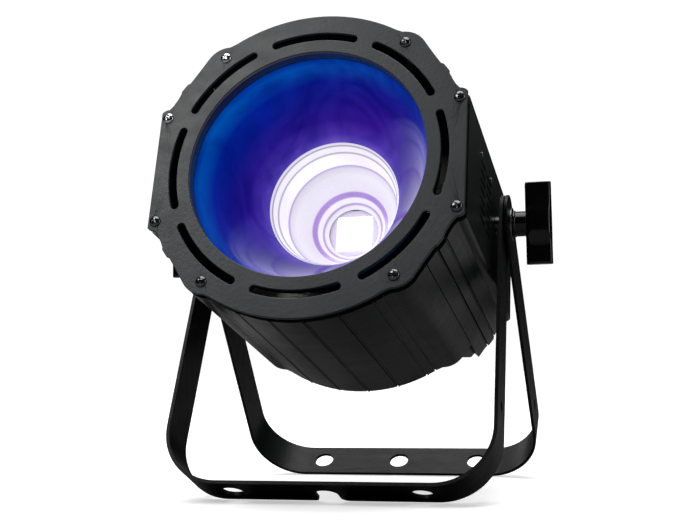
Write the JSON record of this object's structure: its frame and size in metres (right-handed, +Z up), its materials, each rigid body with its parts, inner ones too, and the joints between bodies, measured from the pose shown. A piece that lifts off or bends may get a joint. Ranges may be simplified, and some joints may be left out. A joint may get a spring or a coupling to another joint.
{
  "type": "par can stage light",
  "caption": "COB par can: ribbed black housing with a bowl reflector, hung in two folding flat-bar yokes clamped by T-handle knobs.",
  "frame": {"origin": "on the floor, under the centre of the whole light's box", "axes": "+Z up, beam towards -Y and tilted up, +X along the tilt axis"},
  "size_m": [0.2986, 0.3047, 0.3334],
  "materials": {
    "bezel_paint": "satin",
    "housing_paint": "satin",
    "yoke_paint": "matt",
    "reflector": "polished",
    "inner_reflector": "polished",
    "led_phosphor": "satin",
    "led_board": "satin",
    "white_plastic": "satin",
    "heat_sink": "satin",
    "zinc_steel": "satin",
    "black_screws": "glossy",
    "plated_steel": "polished",
    "fibre": "matt",
    "knob_plastic": "glossy",
    "seal_rubber": "matt",
    "circuit_board": "satin",
    "components": "satin",
    "fan_plastic": "satin",
    "window": "glossy",
    "display": "satin",
    "button_plastic": "satin",
    "socket_plastic": "satin",
    "latch_metal": "satin"
  },
  "bodies": {
    "rear_yoke": {"rear_yoke": "yoke_paint", "friction_washers": "fibre", "knob_washers": "plated_steel"},
    "front_yoke": {"front_yoke": "yoke_paint"},
    "left_knob": {"left_knob": "knob_plastic"},
    "right_knob": {"right_knob": "knob_plastic"},
    "fan_rotor": {"fan_rotor": "fan_plastic"},
    "data_latch": {"data_latch": "latch_metal"},
    "menu_button": {"menu_button": "button_plastic"},
    "down_button": {"down_button": "button_plastic"},
    "up_button": {"up_button": "button_plastic"},
    "enter_button": {"enter_button": "button_plastic"},
    "head": {"front_bezel": "bezel_paint", "top_shell": "housing_paint", "bottom_shell": "housing_paint", "left_cheek": "housing_paint", "right_cheek": "housing_paint", "rear_cover": "housing_paint", "rear_panel": "housing_paint", "front_frame": "housing_paint", "outer_reflector": "reflector", "inner_reflector": "inner_reflector", "cob_emitter": "led_phosphor", "cob_substrate": "led_board", "cob_holder": "white_plastic", "heat_sink": "heat_sink", "bulkhead": "zinc_steel", "driver_bracket": "zinc_steel", "holder_screws": "zinc_steel", "safety_eye": "zinc_steel", "bezel_screws": "black_screws", "cheek_screws": "black_screws", "rear_panel_screws": "black_screws", "fan_screws": "black_screws", "socket_screws": "black_screws", "pivot_studs": "plated_steel", "pivot_spacers": "plated_steel", "rim_seal": "seal_rubber", "driver_board": "circuit_board", "control_board": "circuit_board", "driver_parts": "components", "fan_frame": "fan_plastic", "display_window": "window", "display_module": "display", "data_in_socket": "socket_plastic", "data_out_socket": "socket_plastic", "power_inlet": "socket_plastic", "fuse_holder": "socket_plastic"}
  },
  "joints": [
    {"name": "head_tilt", "type": "hinge", "parent": "rear_yoke", "child": "head", "pos_m": [0, 0.00206, 0.1938], "axis": [1, 0, 0], "range_deg": [-73.9, 106]},
    {"name": "front_yoke_fold", "type": "hinge", "parent": "rear_yoke", "child": "front_yoke", "pos_m": [0, 0.00206, 0.1938], "axis": [1, 0, 0], "range_deg": [-25, 61.2]},
    {"name": "left_knob_turn", "type": "hinge", "parent": "head", "child": "left_knob", "pos_m": [-0.135, 0.00206, 0.1938], "axis": [1, 0, 0], "continuous": true},
    {"name": "right_knob_turn", "type": "hinge", "parent": "head", "child": "right_knob", "pos_m": [0.135, 0.00206, 0.1938], "axis": [1, 0, 0], "continuous": true},
    {"name": "fan_spin", "type": "hinge", "parent": "head", "child": "fan_rotor", "pos_m": [0, 0.06687, 0.17313], "axis": [0, -0.961, 0.2766], "continuous": true},
    {"name": "data_latch_push", "type": "slide", "parent": "head", "child": "data_latch", "axis": [0, -0.961, 0.2766], "range_m": [0, 0.002], "stiffness_N_per_m": 600, "springref_m": -0.001},
    {"name": "menu_button_press", "type": "slide", "parent": "head", "child": "menu_button", "axis": [0, -0.961, 0.2766], "range_m": [0, 0.001], "stiffness_N_per_m": 600, "springref_m": -0.001},
    {"name": "down_button_press", "type": "slide", "parent": "head", "child": "down_button", "axis": [0, -0.961, 0.2766], "range_m": [0, 0.001], "stiffness_N_per_m": 600, "springref_m": -0.001},
    {"name": "up_button_press", "type": "slide", "parent": "head", "child": "up_button", "axis": [0, -0.961, 0.2766], "range_m": [0, 0.001], "stiffness_N_per_m": 600, "springref_m": -0.001},
    {"name": "enter_button_press", "type": "slide", "parent": "head", "child": "enter_button", "axis": [0, -0.961, 0.2766], "range_m": [0, 0.001], "stiffness_N_per_m": 600, "springref_m": -0.001}
  ]
}
